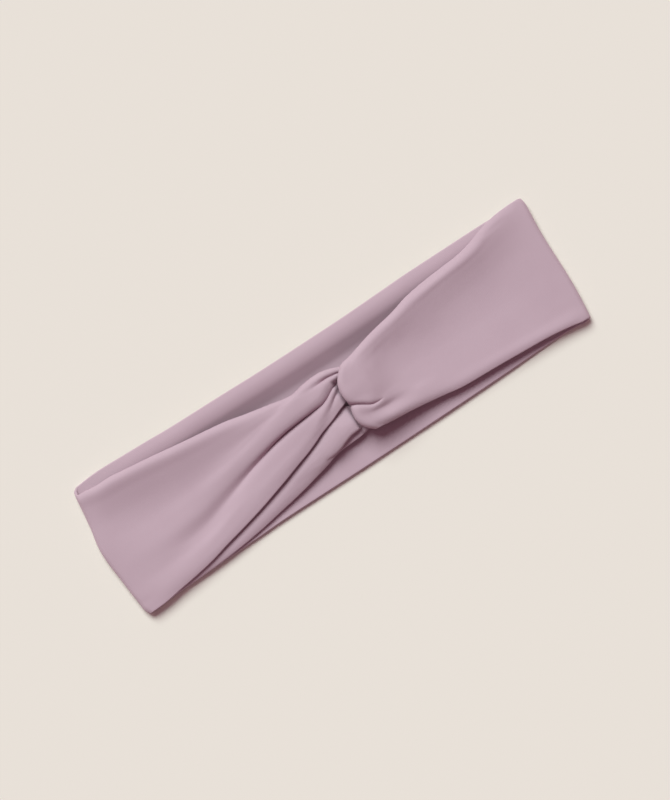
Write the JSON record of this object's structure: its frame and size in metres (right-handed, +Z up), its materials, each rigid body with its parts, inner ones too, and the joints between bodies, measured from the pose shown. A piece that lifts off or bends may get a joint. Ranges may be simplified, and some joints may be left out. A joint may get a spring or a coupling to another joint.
{
  "type": "knotted headband",
  "caption": "Stretch jersey headband folded flat: a double-ply loop whose front is two strips linked in a turban-style knot, with a plain back band.",
  "frame": {"origin": "middle of the back band's underside, on the surface that the folded headband lies on", "axes": "+X along the band from the left side seam to the right one, +Y across its width towards the top edge, +Z up off the table, from the back band to the knot"},
  "size_m": [0.2424, 0.065, 0.0162],
  "materials": {
    "jersey": "brushed matte knit",
    "jersey_lining": "brushed matte knit",
    "thread": "spun polyester thread",
    "label_satin": "satin ribbon, blank"
  },
  "bodies": {
    "back_centre": {"back_shell_centre": "jersey", "back_lining_centre": "jersey_lining", "care_label": "label_satin", "care_label_stitches": "thread"},
    "back_left": {"back_shell_left": "jersey", "back_lining_left": "jersey_lining", "left_side_seam": "thread"},
    "back_right": {"back_shell_right": "jersey", "back_lining_right": "jersey_lining", "right_side_seam": "thread"},
    "front_left": {"left_upper_leg_shell": "jersey", "left_upper_leg_lining": "jersey_lining", "left_lower_leg_shell": "jersey", "left_lower_leg_lining": "jersey_lining"},
    "knot": {"left_upper_gathers": "jersey", "left_lower_gathers": "jersey", "left_loop": "jersey", "right_upper_gathers": "jersey", "right_lower_gathers": "jersey", "right_bend": "jersey"},
    "front_right": {"right_upper_leg_shell": "jersey", "right_upper_leg_lining": "jersey_lining", "right_lower_leg_shell": "jersey", "right_lower_leg_lining": "jersey_lining"}
  },
  "joints": [
    {"name": "back_left_bend", "type": "hinge", "parent": "back_centre", "child": "back_left", "pos_m": [-0.04033, 0, 0.0014], "axis": [0, 1, 0], "range_deg": [0, 60]},
    {"name": "back_right_bend", "type": "hinge", "parent": "back_centre", "child": "back_right", "pos_m": [0.04033, 0, 0.0014], "axis": [0, -1, 0], "range_deg": [0, 60]},
    {"name": "left_side_fold", "type": "hinge", "parent": "back_left", "child": "front_left", "pos_m": [-0.121, 0, 0.0019], "axis": [0, -1, 0], "range_deg": [0, 120]},
    {"name": "front_left_bend", "type": "hinge", "parent": "front_left", "child": "knot", "pos_m": [-0.04033, 0, 0.0024], "axis": [0, 1, 0], "range_deg": [0, 60]},
    {"name": "front_right_bend", "type": "hinge", "parent": "knot", "child": "front_right", "pos_m": [0.04033, 0, 0.0024], "axis": [0, 1, 0], "range_deg": [0, 60]}
  ],
  "couplings": [
    {"joint": "back_right_bend", "follows": "back_left_bend", "ratio": 1},
    {"joint": "left_side_fold", "follows": "back_left_bend", "ratio": 2},
    {"joint": "front_left_bend", "follows": "back_left_bend", "ratio": 1},
    {"joint": "front_right_bend", "follows": "back_left_bend", "ratio": 1}
  ]
}
